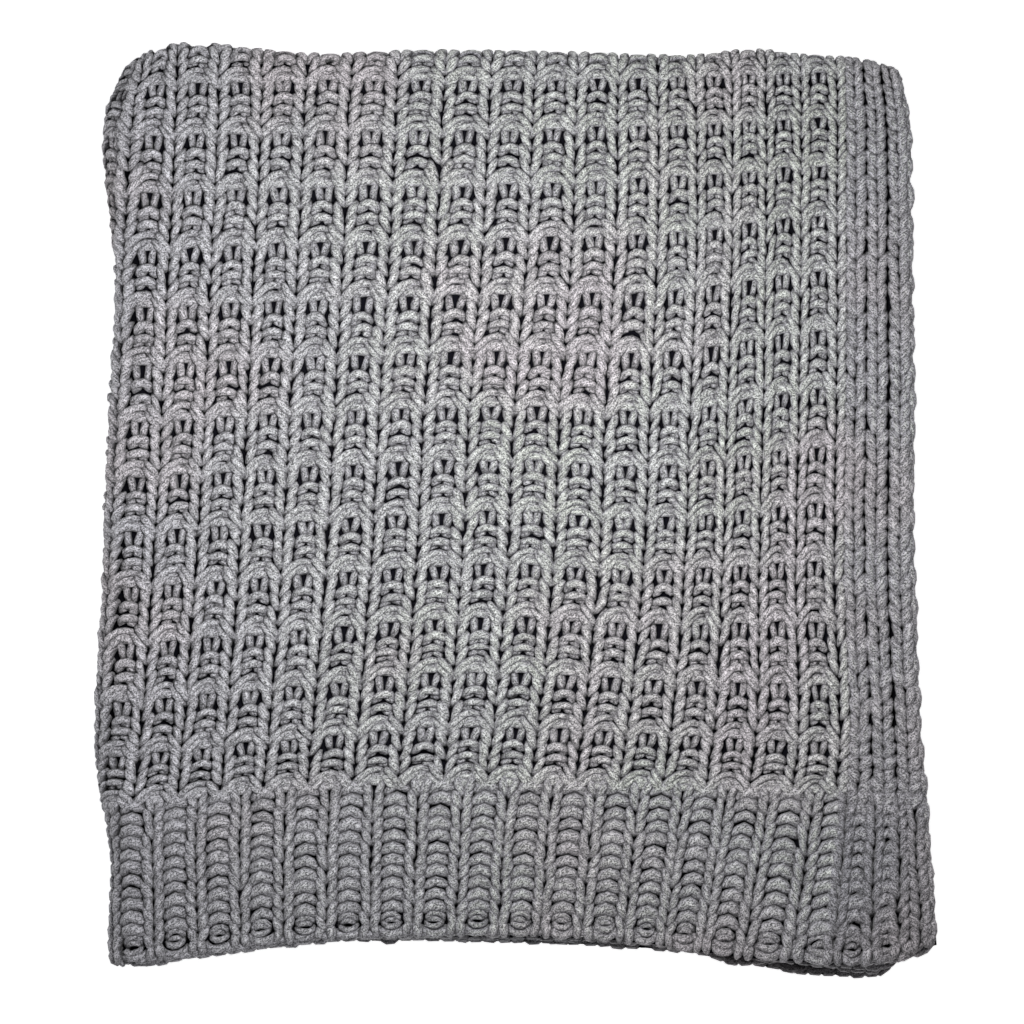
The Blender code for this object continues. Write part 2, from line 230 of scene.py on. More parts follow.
# Strands of the knit, in millimetres. Each point of the yarn is given by how far
# it lies across from its knit column, down from its knit row and off the
# layer's middle, and by the yarn's radius. Symmetric ones stop halfway.
STRANDS = {
    "ridge_leg": (
        (-7.4, -13.8, 0.6, 2.2), (-6.8, -11.4, 4.2, 3.3), (-5.4, -7.8, 6.0, 3.8),
        (-3.9, -4.2, 5.6, 3.5), (-2.5, -1.2, 3.4, 2.7), (-1.5, 1.0, 0.0, 1.9),
    ),
    "tuck_left": (
        (-11.6, 23.8, 1.4, 2.0), (-9.8, 26.2, 5.0, 2.9), (-6.6, 30.0, 7.0, 3.2),
        (-3.4, 34.0, 6.8, 3.1), (-1.0, 37.2, 4.6, 2.6), (0.2, 39.2, 1.0, 1.9),
    ),
    "tuck_right": (
        (-0.2, 39.2, 0.8, 1.9), (1.8, 36.4, 4.6, 2.7), (5.4, 32.2, 6.8, 3.2),
        (9.8, 28.2, 5.6, 3.1), (14.4, 26.0, 3.8, 3.0), (18.8, 25.8, 3.0, 2.9),
        (22.8, 27.0, 1.4, 2.5), (25.0, 29.0, -1.6, 1.9),
    ),
    "tuck_left_low": (
        (-14.0, 28.4, 0.0, 1.9), (-12.2, 30.8, 3.4, 2.6), (-8.8, 34.4, 5.8, 3.1),
        (-5.2, 38.4, 6.0, 3.0), (-2.6, 41.6, 4.0, 2.6), (-1.4, 43.6, 0.4, 1.9),
    ),
    "tuck_right_low": (
        (1.2, 43.4, 0.2, 1.9), (3.2, 40.8, 4.0, 2.6), (6.8, 36.6, 5.8, 3.1),
        (10.8, 32.6, 4.2, 2.9), (14.8, 30.2, 2.6, 2.7), (18.6, 30.0, 2.0, 2.5),
        (22.4, 31.8, -1.0, 1.9),
    ),
    "lump": (
        (-9.2, 36.2, -1.6, 2.4), (-5.4, 34.2, 1.8, 3.4), (0.0, 33.4, 2.8, 3.7),
    ),
    "upright": (
        (-5.6, -9.0, -1.6, 2.8), (-5.0, -4.8, 0.6, 3.5), (-4.0, -0.2, 0.8, 3.5),
        (-3.0, 5.2, -1.2, 2.8),
    ),
    "arc_high": (
        (-8.8, 12.4, -2.8, 1.8), (-7.2, 10.4, 1.2, 2.8), (-4.2, 8.0, 3.8, 3.5),
        (0.0, 6.8, 4.6, 3.6),
    ),
    "arc_high_foot": (
        (-1.2, 9.8, -0.6, 1.9), (-3.6, 11.2, 2.2, 2.5), (-6.0, 12.4, 2.0, 2.4),
        (-7.8, 13.4, -1.8, 1.7),
    ),
    "arc_middle": (
        (-9.0, 20.2, -2.8, 1.8), (-7.2, 18.6, 1.4, 2.7), (-4.4, 17.4, 4.2, 3.3),
        (0.0, 16.6, 4.9, 3.5),
    ),
    "arc_middle_foot": (
        (-1.0, 19.8, -0.6, 1.8), (-3.6, 21.0, 2.2, 2.5), (-6.2, 22.0, 2.0, 2.3),
        (-8.0, 22.8, -1.8, 1.7),
    ),
    "rib_leg": (
        (-6.5, -6.8, -0.2, 2.1), (-6.1, -4.4, 3.6, 3.3), (-5.0, -0.6, 5.6, 3.9),
        (-3.6, 3.6, 5.4, 3.7), (-2.3, 7.2, 3.4, 2.9), (-1.4, 9.8, 0.0, 2.0),
    ),
    "rib_arc": (
        (-9.8, 5.4, -1.4, 2.9), (-7.4, 3.2, 1.9, 4.3), (-4.0, 0.8, 3.1, 5.3),
        (0.0, -1.0, 3.5, 5.5),
    ),
    "rib_bar": (
        (-10.4, 1.6, -0.6, 2.6), (-6.0, 0.2, 3.0, 3.6), (0.0, -0.4, 3.8, 3.9),
    ),
    "eye_top": (
        (-7.2, -13.0, -0.6, 1.9), (-6.2, -17.4, 2.6, 2.5), (-3.0, -20.0, 3.8, 2.8),
    ),
    "eye_bottom": (
        (-7.4, -12.6, -0.4, 2.0), (-5.2, -9.4, 3.0, 2.8), (0.0, -8.0, 4.0, 3.1),
    ),
    "eye_middle": (
        (-5.6, -12.8, 0.2, 1.9), (-3.0, -14.8, 3.4, 2.6), (0.0, -15.4, 4.2, 2.8),
    ),
    "hem_cup": (
        (-10.4, -8.0, -1.6, 2.0), (-8.2, -4.6, 1.6, 2.9), (-4.2, -2.4, 2.8, 3.3),
        (0.0, -1.8, 3.0, 3.4),
    ),
    "hem_foot": (
        (-2.0, -15.4, 0.6, 2.2), (-3.2, -11.2, 4.0, 3.5), (-4.4, -6.6, 5.0, 4.2),
        (-4.9, -3.0, 3.6, 4.0), (-5.2, 0.0, -0.6, 2.6),
    ),
    "edge_bump": (
        (-6.2, -3.2, -1.0, 1.9), (-4.2, 0.2, 1.6, 3.4), (0.0, 1.8, 2.4, 4.1),
    ),
    "border_leg": (
        (-6.0, -7.8, 0.2, 2.5), (-5.5, -4.8, 3.9, 3.8), (-4.1, -0.8, 5.5, 4.5),
        (-2.8, 3.4, 4.9, 4.1), (-1.8, 7.0, 0.6, 2.4),
    ),
    "side_loop": (
        (-3.4, -13.4, -1.2, 2.4), (-1.0, -8.6, 1.4, 3.3), (1.0, 0.0, 2.2, 3.8),
        (0.2, 7.2, 1.4, 3.4), (-2.0, 13.0, -1.4, 2.4),
    ),
}
SYMMETRIC = ("lump", "arc_high", "arc_middle", "rib_arc", "rib_bar", "eye_top",
             "eye_middle", "eye_bottom", "hem_cup", "edge_bump")
AROUND = 8             # faces round a strand
# A ridge's four stitches: where each ends and how it is lifted, in millimetres
LEG_TIPS = ((8.8, 0.0), (19.2, 0.0), (29.6, 0.0), (40.4, -1.6))


def blend(stations, values, at):
    """Smooth curve through values at the stations, straight past both ends.

    values has one entry for each station; an entry may be an array that
    goes with the array of places.
    """
    st = np.asarray(stations, float)
    at = np.asarray(at, float)
    val = np.asarray(values, float)
    val = val.reshape(val.shape + (1,) * (at.ndim + 1 - val.ndim))
    val = np.broadcast_to(val, (len(st),) + at.shape)
    tail = (1,) * at.ndim
    step = np.diff(st).reshape((-1,) + tail)
    slope = np.diff(val, axis=0) / step
    inner = (slope[:-1] * step[1:] + slope[1:] * step[:-1]) / (step[1:] + step[:-1])
    tangent = np.concatenate([slope[:1], inner, slope[-1:]])
    j = np.clip(np.searchsorted(st, at) - 1, 0, len(st) - 2)
    a, b = st[j], st[j + 1]
    t = np.clip((at - a) / (b - a), 0.0, 1.0)

    def pick(rows, index):
        return np.take_along_axis(rows, index[None], 0)[0]

    va, vb = pick(val, j), pick(val, j + 1)
    ta, tb = pick(tangent, j) * (b - a), pick(tangent, j + 1) * (b - a)
    t2, t3 = t * t, t * t * t
    out = va * (2 * t3 - 3 * t2 + 1) + ta * (t3 - 2 * t2 + t)
    out = out + vb * (3 * t2 - 2 * t3) + tb * (t3 - t2)
    out = out + np.minimum(at - st[0], 0.0) * tangent[0]
    return out + np.maximum(at - st[-1], 0.0) * tangent[-1]


def ease(t):
    """Smooth step from 0 to 1."""
    t = np.clip(t, 0.0, 1.0)
    return t * t * (3.0 - 2.0 * t)


def knit_table(table, k, i):
    """Value of a knit table at knit column k and row i, in metres."""
    columns = [blend(I_STATIONS, [row[c] for row in table], i)
               for c in range(len(K_STATIONS))]
    return blend(K_STATIONS, np.array(columns), k) / 1000.0


def top_line(x):
    """Height on the plan of the top fold's edge at x."""
    return blend(TOP_X, TOP_Y, np.clip(x * 1000.0, TOP_X[0], TOP_X[-1])) / 1000.0


def left_line(y):
    """Place on the plan of the left fold's edge at y."""
    return blend(LEFT_Y, LEFT_X, np.clip(y * 1000.0, LEFT_Y[0], LEFT_Y[-1])) / 1000.0


def developed(k, i):
    """Flat position of knit column k and row i, as if both folds lay open."""
    k, i = np.broadcast_arrays(np.asarray(k, float), np.asarray(i, float))
    kk = np.clip(k, 0.5, K_EDGE)
    ii = np.clip(i, 0.0, I_HEM)
    x = knit_table(X_KNIT, kk, ii) + (k - kk) * COLUMN
    y = knit_table(Y_KNIT, kk, ii) - (i - ii) * WAFFLE
    return x, y


def fold_one(yd, w, top):
    """First fold: plan y and height above the packet's middle."""
    start = top - OUT1
    over = yd - start
    turn = np.clip(over / ARC1, 0.0, math.pi)
    past = np.maximum(over - math.pi * ARC1, 0.0)
    w = w - FOLD_PRESS[0] * np.sin(turn) * np.maximum(w - PRESS_ABOVE, 0.0)
    y = start + np.minimum(over, 0.0) + (R1 + w) * np.sin(turn) - past
    return y, (R1 + w) * np.cos(turn)


def fold_two(xd, d, left):
    """Second fold: plan x and height above the surface."""
    start = left + OUT2
    over = start - xd
    turn = np.clip(over / ARC2, 0.0, math.pi)
    past = np.maximum(over - math.pi * ARC2, 0.0)
    d = d - FOLD_PRESS[1] * np.sin(turn) * np.maximum(d - R1 - PRESS_ABOVE, 0.0)
    x = start + np.maximum(-over, 0.0) - (R2 + d) * np.sin(turn) + past
    return x, MID_Z + (R2 + d) * np.cos(turn)


def place(xd, yd, w):
    """Point of the folded cloth for a developed position and a height w
    off the middle of the layer."""
    near = fold_two(xd, 0.0, np.full(np.shape(xd), min(LEFT_X) / 1000.0))[0]
    y, d = fold_one(yd, w, top_line(near))
    x, z = fold_two(xd, d, left_line(y))
    for cx, cy, dx, dy, pull, reach in CORNERS:
        far = ((x * 1000.0 - cx) ** 2 + (y * 1000.0 - cy) ** 2) / reach ** 2
        draw = pull / 1000.0 * np.exp(-far)
        x, y = x + dx * draw, y + dy * draw
    side = np.minimum(x + PILE_SIDE, PILE_SIDE - x)
    side = np.minimum(side, np.minimum(y + PILE_FRONT, PILE_BACK - y))
    level = 1.0 - EDGE_DROP * (1.0 - ease(side / EDGE_REACH))
    for size, fx, fy, shift in SWELL:
        level = level + size * np.sin(fx * x + fy * y + shift)
    return x + CENTRE_X, y, z * level


def edge_line(layer, y):
    """Place on the plan of a layer's side edge at y."""
    mm = np.clip(y * 1000.0, SIDE_Y[0], SIDE_Y[-1])
    inside = 0.0 if layer == "top" else np.interp(y * 1000.0, INSET_Y, INSET_X)
    return (blend(SIDE_Y, SIDE_X, mm) - inside) / 1000.0


def under_x(x, y):
    """Developed x of a point of the lower half that lies at x on the plan."""
    start = left_line(y) + OUT2
    return start - math.pi * ARC2 - (x - start)


def back_y(y, x):
    """Developed y of a point behind the first fold that lies at y on the plan."""
    start = top_line(x) - OUT1
    return start + math.pi * ARC1 + (start - y)


def peep(x, layer):
    """How far a lower layer's hem shows below the top layer's at x."""
    mm = np.clip(x * 1000.0, PEEP_X[0], PEEP_X[-1])
    return HEM_SHARE[layer] * np.interp(mm, PEEP_X, PEEP_Y) / 1000.0


def top_k(x, i):
    """Knit column whose row i passes over x, for the lower layers' rows."""
    start = left_line(knit_table(Y_KNIT, np.full(np.shape(i), 0.5), i)) + OUT2
    end = knit_table(X_KNIT, np.full(np.shape(i), K_EDGE), i)
    return 0.5 + (K_EDGE - 0.5) * np.clip((x - start) / (end - start), 0.0, 1.0)


class ThrowYarn(bpy.types.PropertyGroup):
    """Yarn and cloth of the throw."""

    grey: bpy.props.FloatVectorProperty(
        name="Yarn grey", description="Main colour of the yarn",
        subtype="COLOR", size=3, min=0.0, max=1.0, default=(0.424, 0.419, 0.454))
    blush: bpy.props.FloatVectorProperty(
        name="Warm blotch", description="Faint warm tone the dye takes in places",
        subtype="COLOR", size=3, min=0.0, max=1.0, default=(0.452, 0.424, 0.445))
    # painted light tint: greenish grey the yarn is mixed to where its painted light is
    # highest
    lit_tint: bpy.props.FloatVectorProperty(
        name="Raised yarn", description="Tone the yarn takes where it stands highest",
        subtype="COLOR", size=3, min=0.0, max=1.0, default=(0.432, 0.450, 0.420))
    # painted shade: near-black colour the yarn is mixed to where its painted light is low,
    # also the cloth sheet's colour
    shade: bpy.props.FloatVectorProperty(
        name="Inner yarn", description="Colour of the yarn deep between the stitches",
        subtype="COLOR", size=3, min=0.0, max=1.0, default=(0.0040, 0.0038, 0.0060))
    sheet: bpy.props.FloatProperty(
        name="Cloth thickness", description="Thickness of the cloth under the stitches",
        default=0.0025, min=0.001, max=0.006, unit="LENGTH")


class ThrowStudio(bpy.types.PropertyGroup):
    """Camera, light and floor."""

    height: bpy.props.FloatProperty(
        name="Camera height", description="Camera above the surface",
        default=4.608, min=0.5, max=10.0, unit="LENGTH")
    lens: bpy.props.FloatProperty(
        name="Lens", description="Focal length on a 36 mm sensor, in millimetres",
        default=200.0, min=20.0, max=400.0)
    key_power: bpy.props.FloatProperty(
        name="Key light", description="Power of the main soft light, in watts",
        default=10.4, min=0.0, max=500.0)
    glow: bpy.props.FloatProperty(
        name="Floor glow", description="Light that the floor gives off, against shadows",
        default=0.84, min=0.0, max=2.0)
    sky: bpy.props.FloatProperty(
        name="Room light", description="Strength of the even light all round",
        default=0.24, min=0.0, max=5.0)


def deselect_all():
    """Leave nothing selected before a piece is made."""
    bpy.ops.object.select_all(action="DESELECT")


def smooth_line(points, count):
    """Evenly spaced points along a smooth curve through the given ones."""
    pts = np.asarray(points, float)
    steps = np.linalg.norm(np.diff(pts[:, :3], axis=0), axis=1)
    at = np.concatenate([[0.0], np.cumsum(steps)])
    places = np.linspace(0.0, at[-1], count)
    return np.stack([blend(at, pts[:, c], places) for c in range(4)], 1), at[-1]


def strand_points(name):
    """The whole line of a strand, with the right half of a symmetric one."""
    points = STRANDS[name]
    if name in SYMMETRIC:
        points += tuple((-x, *rest) for x, *rest in reversed(points) if x)
    return points


def rolled_strand(name, rings, around=AROUND):
    """One strand of yarn as arrays: a flat strip rolled up along its line.

    Gives vertex places in millimetres, faces, and the strip's own UVs, whose
    first value runs along the yarn in centimetres and the second round it.
    """
    deselect_all()
    bpy.ops.mesh.primitive_grid_add(x_subdivisions=rings, y_subdivisions=around,
                                    size=2.0, location=(0.0, 0.0, 0.0))
    strip = bpy.context.active_object
    mesh = strip.data
    line, length = smooth_line(strand_points(name), rings + 1)
    along = np.gradient(line[:, :3], axis=0)
    along /= np.linalg.norm(along, axis=1)[:, None]
    side = np.cross(along, np.array([0.0, 0.0, 1.0]))
    side /= np.linalg.norm(side, axis=1)[:, None]
    up = np.cross(side, along)
    co = np.zeros(len(mesh.vertices) * 3)
    mesh.vertices.foreach_get("co", co)
    co = co.reshape(-1, 3)
    ring = np.rint((co[:, 0] + 1.0) / 2.0 * rings).astype(int)
    angle = math.pi * (co[:, 1] + 0.5)
    radius = line[ring, 3][:, None]
    rolled = line[ring, :3] + radius * (
        side[ring] * np.cos(angle)[:, None] + up[ring] * np.sin(angle)[:, None])
    mesh.vertices.foreach_set("co", rolled.ravel())
    uv = mesh.uv_layers.active.data
    flat = np.zeros(len(uv) * 2)
    uv.foreach_get("uv", flat)
    flat = flat.reshape(-1, 2)
    flat[:, 0] *= length / 10.0
    uv.foreach_set("uv", flat.ravel())
    bpy.ops.object.mode_set(mode="EDIT")
    bpy.ops.mesh.select_all(action="SELECT")
    bpy.ops.mesh.remove_doubles(threshold=0.001)
    bpy.ops.mesh.fill_holes(sides=around)
    bpy.ops.mesh.select_all(action="SELECT")
    bpy.ops.mesh.normals_make_consistent(inside=False)
    bpy.ops.object.mode_set(mode="OBJECT")
    verts = np.array([v.co[:] for v in mesh.vertices])
    near = np.argmin(np.linalg.norm(verts[:, None] - line[None, :, :3], axis=2), 1)
    faces = [tuple(p.vertices) for p in mesh.polygons]
    uvs = np.array([mesh.uv_layers.active.data[n].uv[:]
                    for p in mesh.polygons for n in p.loop_indices])
    bpy.data.objects.remove(strip, do_unlink=True)
    bpy.data.meshes.remove(mesh)
    spine = line[near, :3]
    away = (verts - spine) / line[near, 3][:, None]
    return {"verts": verts, "faces": faces, "uvs": uvs, "spine": spine,
            "away": away, "along": near / rings * 2.0 - 1.0}


class Piece:
    """Collects copies of strands and makes them one mesh object."""

    def __init__(self, name, seed):
        self.name = name
        self.rng = np.random.default_rng(seed)
        self.verts, self.loops, self.sizes = [], [], []
        self.uvs, self.tones, self.painted_lights = [], [], []
        self.count = 0

    def copy(self, strand, centres, to_space, mirror=False, wide=1.0, lift=0.0,
             down=0.0, light=1.0, wander=0.55, front=None):
        """Copies of a strand at each centre; to_space turns the centres and the
        strand's own millimetres into folded points. light scales their painted shade;
        front gives the axis on which the strand faces outwards, and how much painted
        light it keeps on that side."""
        centres = np.asarray(centres, float).reshape(-1, 2)
        n = len(centres)
        size = np.array([-wide if mirror else wide, 1.0, 1.0])
        spine = strand["spine"] * size
        faces = strand["faces"]
        # each copy is a little thicker or thinner, shifted, turned and bent
        thick = self.rng.normal(1.0, UNEVEN, (n, 1, 1))
        body = spine + (strand["verts"] * size - spine) * thick
        shift = self.rng.normal(0.0, wander, (n, 1, 3)) * np.array([1.0, 1.0, 0.6])
        bow = strand["along"] ** 2 - 0.33
        bend = self.rng.normal(0.0, BEND, (n, 1, 3)) * bow[None, :, None]
        turn = self.rng.normal(0.0, TURN, (n, 1))
        middle = spine.mean(0)
        flat = body - middle
        x = flat[:, :, 0] * np.cos(turn) - flat[:, :, 1] * np.sin(turn)
        y = flat[:, :, 0] * np.sin(turn) + flat[:, :, 1] * np.cos(turn)
        local = np.stack([x, y, flat[:, :, 2]], 2) + middle + shift + bend
        local = local + self.rng.normal(0.0, LUMPY, local.shape)
        local = local + np.array([0.0, down, lift])
        # painted shade: a light factor per vertex, dark on the lower flanks and on low
        # yarn
        side = np.interp(strand["away"][:, 2], FLANK_AT, PAINTED_FLANK_LIGHT)
        painted_light = np.interp(local[:, :, 2], HEIGHTS, HEIGHT_LIGHT) * side * light
        if front:
            facing = np.clip(strand["away"][:, front[0]], 0.0, 1.0)
            painted_light = np.maximum(painted_light, front[1] * facing)
        self.painted_lights.append(painted_light.ravel())
        points = to_space(centres[:, None, 0], centres[:, None, 1], local)
        self.verts.append(points.reshape(-1, 3))
        order = np.array([i for f in faces for i in (f[::-1] if mirror else f)])
        points_each = len(spine)
        base = self.count + np.arange(n)[:, None] * points_each
        self.loops.append((order[None] + base).ravel())
        sizes = np.array([len(f) for f in faces])
        self.sizes.append(np.tile(sizes, n))
        uvs = strand["uvs"]
        if mirror:
            starts = np.concatenate([[0], np.cumsum(sizes)])
            uvs = np.concatenate([uvs[a:b][::-1] for a, b in zip(starts, starts[1:])])
        # each copy shows another stretch of the fibres
        shifted = uvs[None] + self.rng.uniform(0.0, 1.0, (n, 1, 2)) * 7.0
        self.uvs.append(shifted.reshape(-1, 2))
        tone = self.rng.normal(0.0, 1.0, (n, 1))
        self.tones.append(np.repeat(tone, points_each, 1).ravel())
        self.count += n * points_each

    def finish(self):
        """Make the mesh object, give it its yarn and hand it to the frame."""
        verts = np.concatenate(self.verts)
        loops = np.concatenate(self.loops)
        sizes = np.concatenate(self.sizes)
        mesh = bpy.data.meshes.new(self.name)
        mesh.vertices.add(len(verts))
        mesh.vertices.foreach_set("co", verts.ravel())
        mesh.loops.add(len(loops))
        mesh.loops.foreach_set("vertex_index", loops.astype(np.int32))
        mesh.polygons.add(len(sizes))
        starts = np.concatenate([[0], np.cumsum(sizes)[:-1]])
        mesh.polygons.foreach_set("loop_start", starts.astype(np.int32))
        mesh.update(calc_edges=True)
        layer = mesh.uv_layers.new(name="yarn")
        layer.data.foreach_set("uv", np.concatenate(self.uvs).ravel())
        tone = mesh.attributes.new("tone", "FLOAT", "POINT")
        tone.data.foreach_set("value", np.concatenate(self.tones))
        # painted light per vertex; where it is low the yarn's colour is mixed to the dark
        # shade colour
        painted_light_layer = mesh.attributes.new("open", "FLOAT", "POINT")
        painted_light_layer.data.foreach_set("value", np.concatenate(self.painted_lights))
        mesh.polygons.foreach_set("use_smooth", np.ones(len(sizes), bool))
        mesh.validate()
        mesh.materials.append(yarn())
        obj = bpy.data.objects.new(self.name, mesh)
        bpy.context.scene.collection.objects.link(obj)
        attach(obj, "root")


def knit_fold(k0, i0, local):
    """Folded points of a strand copied at knit column k0 and row i0."""
    k = k0 + local[:, :, 0] / (COLUMN * 1000.0)
    i = i0 + local[:, :, 1] / (WAFFLE * 1000.0)
    w = local[:, :, 2] / 1000.0
    x, y = developed(k, i)
    start = left_line(y) + OUT2
    over = start - x
    past = over - math.pi * ARC2
    # the lower half follows its own rows, and is pressed flatter
    last = start - math.pi * ARC2
    reach = last - developed(UNDER_EDGE_K, i)[0]
    plan = start + past * (edge_line("under", y) - start) / reach
    low_y = knit_table(Y_KNIT, top_k(plan, i), i)
    low_y = low_y - peep(plan, "under") * ease((i - I_BAND) / (I_HEM - I_BAND))
    lower = past > 0.0
    x = np.where(lower, under_x(plan, low_y), x)
    y = np.where(lower, low_y, y)
    press = 1.0 - (1.0 - UNDER_PRESS) * ease(
        (over / ARC2 - UNDER_TURN[0]) / UNDER_TURN[1])
    return np.stack(place(x, y, w * press), 2)


def layer_plan(layer, x, y, w):
    """Folded points of one of the four layers for places on the plan."""
    xd = x if layer in ("top", "back") else under_x(x, y)
    yd = y if layer in ("top", "under") else back_y(y, x)
    return np.stack(place(xd, yd, w), 2)


def hem_line(layer, x):
    """Height on the plan of a layer's hem at x."""
    row = np.full(np.shape(x), I_HEM)
    y = knit_table(Y_KNIT, top_k(x, row), row)
    return y if layer == "top" else y - peep(x, layer)


def hem_fold(layer, face):
    """Folding for strands copied along a layer's hem: the first centre value
    is the place across, the second the distance above the hem."""
    def to_space(x0, up, local):
        x = x0 + local[:, :, 0] / 1000.0
        y = hem_line(layer, x) + up - local[:, :, 1] / 1000.0
        return layer_plan(layer, x, y, face * local[:, :, 2] / 1000.0)
    return to_space


def side_fold(layer, face):
    """Folding for strands copied along a layer's side edge: the first centre
    value is the distance inside the edge, the second the height on the plan."""
    def to_space(inside, y0, local):
        y = y0 - local[:, :, 1] / 1000.0
        x = edge_line(layer, y) - inside + local[:, :, 0] / 1000.0
        return layer_plan(layer, x, y, face * local[:, :, 2] / 1000.0)
    return to_space


def dye_and_shade_group():
    """Node group for the yarn: heathered colour with painted shade and a painted light
    tint, and the height of its plies.

    Inputs are the yarn's colours, the painted shade colour and the strand's tone;
    it reads the yarn's own UV map, which runs along and round each strand, object
    places and the painted light attribute.
    """
    group = bpy.data.node_groups.new("heathered_yarn_and_painted_shade", "ShaderNodeTree")
    face = group.interface
    for name, kind in (("Main", "NodeSocketColor"), ("Warm", "NodeSocketColor"),
                       ("LitTint", "NodeSocketColor"), ("PaintedShade", "NodeSocketColor"),
                       ("Fuzz", "NodeSocketFloat"), ("Tone", "NodeSocketFloat")):
        face.new_socket(name=name, in_out="INPUT", socket_type=kind)
    face.new_socket(name="Color", in_out="OUTPUT", socket_type="NodeSocketColor")
    face.new_socket(name="Height", in_out="OUTPUT", socket_type="NodeSocketFloat")
    nodes, links = group.nodes, group.links
    inp = nodes.new("NodeGroupInput")
    out = nodes.new("NodeGroupOutput")
    place_in = nodes.new("ShaderNodeTexCoord")
    uv = nodes.new("ShaderNodeUVMap")
    uv.uv_map = "yarn"
    tone = nodes.new("ShaderNodeAttribute")
    tone.attribute_name = "tone"
    painted_light = nodes.new("ShaderNodeAttribute")
    painted_light.attribute_name = "open"

    def noise(source, scale, detail, rough):
        node = nodes.new("ShaderNodeTexNoise")
        node.inputs["Scale"].default_value = scale
        node.inputs["Detail"].default_value = detail
        node.inputs["Roughness"].default_value = rough
        links.new(source, node.inputs["Vector"])
        return node.outputs["Fac"]

    def remap(source, low, high, to_low, to_high):
        node = nodes.new("ShaderNodeMapRange")
        for name, value in (("From Min", low), ("From Max", high),
                            ("To Min", to_low), ("To Max", to_high)):
            node.inputs[name].default_value = value
        links.new(source, node.inputs["Value"])
        return node.outputs["Result"]

    def math_node(operation, a, b=None, c=None):
        node = nodes.new("ShaderNodeMath")
        node.operation = operation
        for index, value in enumerate((a, b, c)):
            if value is None:
                continue
            if isinstance(value, (int, float)):
                node.inputs[index].default_value = value
            else:
                links.new(value, node.inputs[index])
        return node.outputs["Value"]

    def mix(factor, a, b):
        node = nodes.new("ShaderNodeMix")
        node.data_type = "RGBA"
        links.new(factor, node.inputs["Factor"])
        links.new(a, node.inputs["A"])
        links.new(b, node.inputs["B"])
        return node.outputs["Result"]

    # blotches of warm dye, and a painted light tint: greenish yarn where its painted light
    # is highest, which fades towards the left fold
    obj = place_in.outputs["Object"]
    warm = remap(noise(obj, 7.0, 2.0, 0.5), 0.50, 0.68, 0.0, 1.0)
    across = nodes.new("ShaderNodeSeparateXYZ")
    links.new(obj, across.inputs["Vector"])
    drift = remap(across.outputs["X"], -0.30, 0.0, 0.1, 1.0)
    lit_tint_share = math_node("MULTIPLY", remap(painted_light.outputs["Fac"], 0.58, 0.84, 0.0, 1.0),
                     remap(noise(obj, 11.0, 2.0, 0.5), 0.38, 0.58, 0.55, 1.0))
    lit_tint_share = math_node("MULTIPLY", lit_tint_share, drift)
    colour = mix(lit_tint_share, inp.outputs["Main"], inp.outputs["LitTint"])
    colour = mix(warm, colour, inp.outputs["Warm"])
    # plies: slanted ridges round the strand
    split = nodes.new("ShaderNodeSeparateXYZ")
    links.new(uv.outputs["UV"], split.inputs["Vector"])
    slant = math_node("MULTIPLY_ADD", split.outputs["Y"], PLIES,
                      math_node("MULTIPLY", split.outputs["X"], PLY_TURNS))
    wave = math_node("SINE", math_node("MULTIPLY", slant, math.pi))
    wave = math_node("ABSOLUTE", wave)
    # fibres: streaks along the yarn and a fine speckle over it
    run, round_it, lean = STREAK
    streaks = nodes.new("ShaderNodeCombineXYZ")
    links.new(math_node("MULTIPLY", split.outputs["X"], run), streaks.inputs["X"])
    links.new(math_node("MULTIPLY_ADD", split.outputs["Y"], round_it, math_node(
        "MULTIPLY", split.outputs["X"], lean)), streaks.inputs["Y"])
    fluff = noise(streaks.outputs["Vector"], 1.0, 2.0, 0.6)
    fibre = noise(obj, 820.0, 1.0, 0.8)
    speckle = math_node("ADD", math_node("MULTIPLY", fluff, 0.38),
                        math_node("MULTIPLY", fibre, 0.62))
    light = remap(speckle, 0.41, 0.585, 1.0 - 1.1 * FLECK, 1.0 + 0.76 * FLECK)
    # painted shade: the yarn is darker in the grooves between its plies
    ply = remap(wave, 0.0, 0.5, 0.78, 1.01)
    light = math_node("MULTIPLY", light, ply)
    strand = math_node("MULTIPLY_ADD", tone.outputs["Fac"], inp.outputs["Tone"], 1.0)
    light = math_node("MULTIPLY", light, strand)
    scale = nodes.new("ShaderNodeVectorMath")
    scale.operation = "SCALE"
    links.new(colour, scale.inputs[0])
    links.new(light, scale.inputs["Scale"])
    # painted shade: where the painted light is low the yarn is mixed to the dark shade
    # colour, with a ragged edge
    ragged = remap(fluff, 0.3, 0.7, -0.12, 0.12)
    rough_painted_light = math_node("ADD", painted_light.outputs["Fac"], ragged)
    shown = mix(remap(rough_painted_light, 0.0, 1.0, 0.0, 1.0), inp.outputs["PaintedShade"],
                scale.outputs["Vector"])
    links.new(shown, out.inputs["Color"])
    bump = math_node("MULTIPLY_ADD", wave, 0.42, math_node(
        "MULTIPLY", fluff, inp.outputs["Fuzz"]))
    links.new(bump, out.inputs["Height"])
    return group


